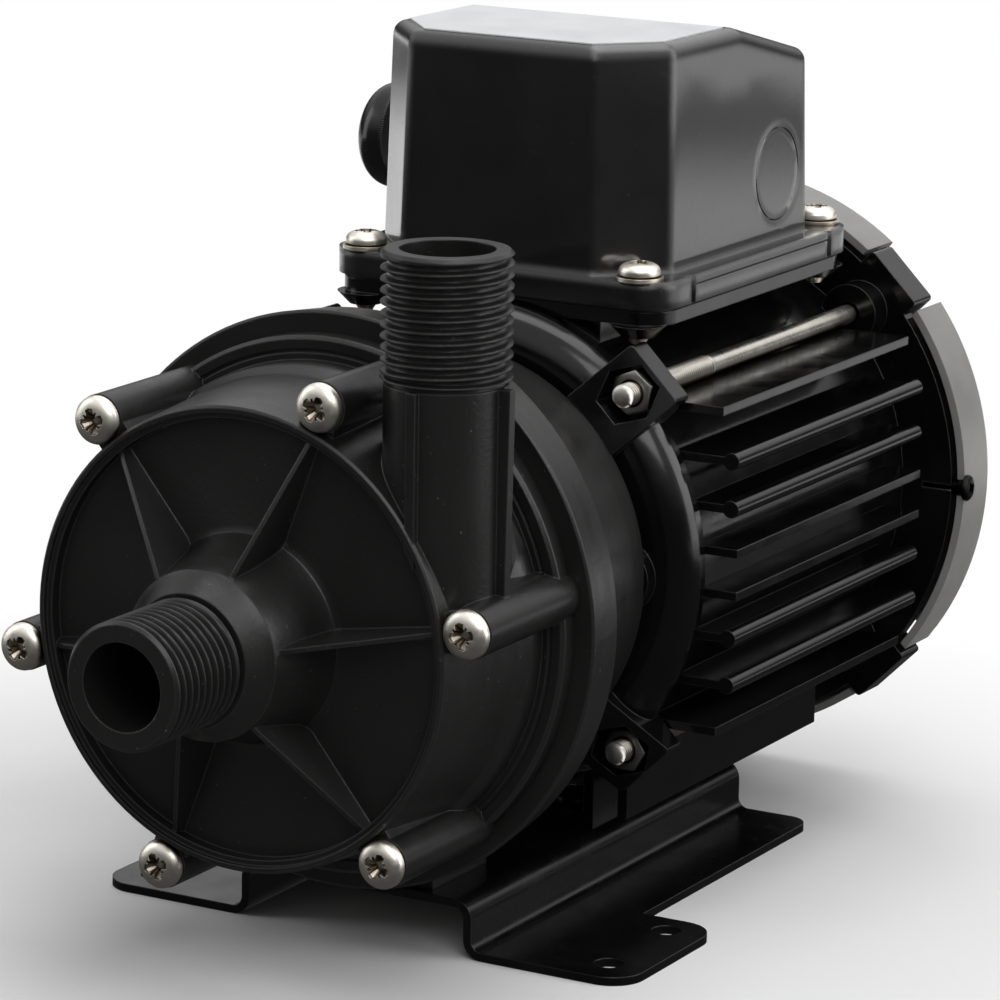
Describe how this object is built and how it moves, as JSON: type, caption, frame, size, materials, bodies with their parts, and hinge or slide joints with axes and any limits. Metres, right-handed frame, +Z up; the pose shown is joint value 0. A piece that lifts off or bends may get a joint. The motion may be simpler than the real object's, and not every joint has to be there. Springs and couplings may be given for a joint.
{
  "type": "magnetic drive pump",
  "caption": "Seal-less centrifugal pump with a ribbed plastic casing, threaded ports, finned motor, terminal box and folded steel base.",
  "frame": {"origin": "centre of the four base holes, on the floor plane", "axes": "+Z up, +Y from the suction nozzle to the fan along the shaft, +X to the right seen from the suction side"},
  "size_m": [0.1081, 0.2084, 0.1477],
  "materials": {
    "casing_plastic": "glass filled plastic, dark grey, satin",
    "stainless_steel": "plain stainless",
    "filled_ptfe": "off white",
    "alumina_ceramic": "polished ceramic, cream",
    "impeller_plastic": "glass filled plastic, black",
    "magnet": "sintered ferrite",
    "bush_carbon": "carbon",
    "seal_rubber": "soft black rubber",
    "bare_steel": "machined steel",
    "black_casting": "cast aluminium under black gloss enamel",
    "copper_wire": "enamelled copper",
    "fan_plastic": "black",
    "cover_sheet": "pressed steel, black satin enamel",
    "box_plastic": "black, satin",
    "label_foil": "bare pale foil",
    "block_plastic": "moulded",
    "stud_brass": "bright",
    "capacitor_can": "drawn can",
    "gland_plastic": "black polyamide",
    "base_sheet": "folded steel, black enamel"
  },
  "bodies": {
    "pump": {"front_casing": "casing_plastic", "rear_casing": "casing_plastic", "bracket": "casing_plastic", "casing_screws": "stainless_steel", "bracket_screws": "stainless_steel", "bracket_foot_screws": "stainless_steel", "terminal_box_screws": "stainless_steel", "terminal_box_washers": "stainless_steel", "base_screws": "stainless_steel", "base_nuts": "stainless_steel", "tie_bolts": "stainless_steel", "tie_bolt_nuts": "stainless_steel", "fan_cover_screws": "stainless_steel", "mouth_ring": "filled_ptfe", "spindle": "alumina_ceramic", "front_thrust_washer": "alumina_ceramic", "rear_thrust_washer": "alumina_ceramic", "casing_o_ring": "seal_rubber", "front_end_bell": "black_casting", "motor_frame": "black_casting", "rear_end_bell": "black_casting", "stator_core": "bare_steel", "stator_windings": "copper_wire", "front_bearing_outer_ring": "bare_steel", "rear_bearing_outer_ring": "bare_steel", "wave_washer": "bare_steel", "fan_cover": "cover_sheet", "terminal_box_cover": "box_plastic", "terminal_box_gasket": "seal_rubber", "label_plate": "label_foil", "terminal_block": "block_plastic", "terminal_studs": "stud_brass", "capacitor": "capacitor_can", "capacitor_clip": "block_plastic", "gland_body": "gland_plastic", "gland_seal": "seal_rubber", "gland_nut": "gland_plastic", "gland_locknut": "gland_plastic", "base_plate": "base_sheet"},
    "drive_rotor": {"motor_shaft": "bare_steel", "rotor_core": "bare_steel", "drive_yoke": "bare_steel", "drive_magnets": "magnet", "yoke_set_screw": "bare_steel", "front_bearing_inner_ring": "bare_steel", "rear_bearing_inner_ring": "bare_steel", "cooling_fan": "fan_plastic"},
    "impeller_rotor": {"impeller": "impeller_plastic", "magnet_capsule": "impeller_plastic", "magnet_capsule_lid": "impeller_plastic", "driven_magnets": "magnet", "bearing_bush": "bush_carbon"},
    "front_ball_cage": {"front_bearing_balls": "bare_steel"},
    "rear_ball_cage": {"rear_bearing_balls": "bare_steel"}
  },
  "joints": [
    {"name": "shaft_spin", "type": "hinge", "parent": "pump", "child": "drive_rotor", "pos_m": [0, 0.0627, 0.0599], "axis": [0, 1, 0], "continuous": true},
    {"name": "impeller_spin", "type": "hinge", "parent": "pump", "child": "impeller_rotor", "pos_m": [0, -0.0233, 0.0599], "axis": [0, 1, 0], "continuous": true},
    {"name": "front_cage_spin", "type": "hinge", "parent": "pump", "child": "front_ball_cage", "pos_m": [0, 0.0202, 0.0599], "axis": [0, 1, 0], "continuous": true},
    {"name": "rear_cage_spin", "type": "hinge", "parent": "pump", "child": "rear_ball_cage", "pos_m": [0, 0.0998, 0.0599], "axis": [0, 1, 0], "continuous": true}
  ],
  "couplings": [
    {"joint": "impeller_spin", "follows": "shaft_spin", "ratio": 1},
    {"joint": "front_cage_spin", "follows": "shaft_spin", "ratio": 0.40099},
    {"joint": "rear_cage_spin", "follows": "shaft_spin", "ratio": 0.40099}
  ]
}
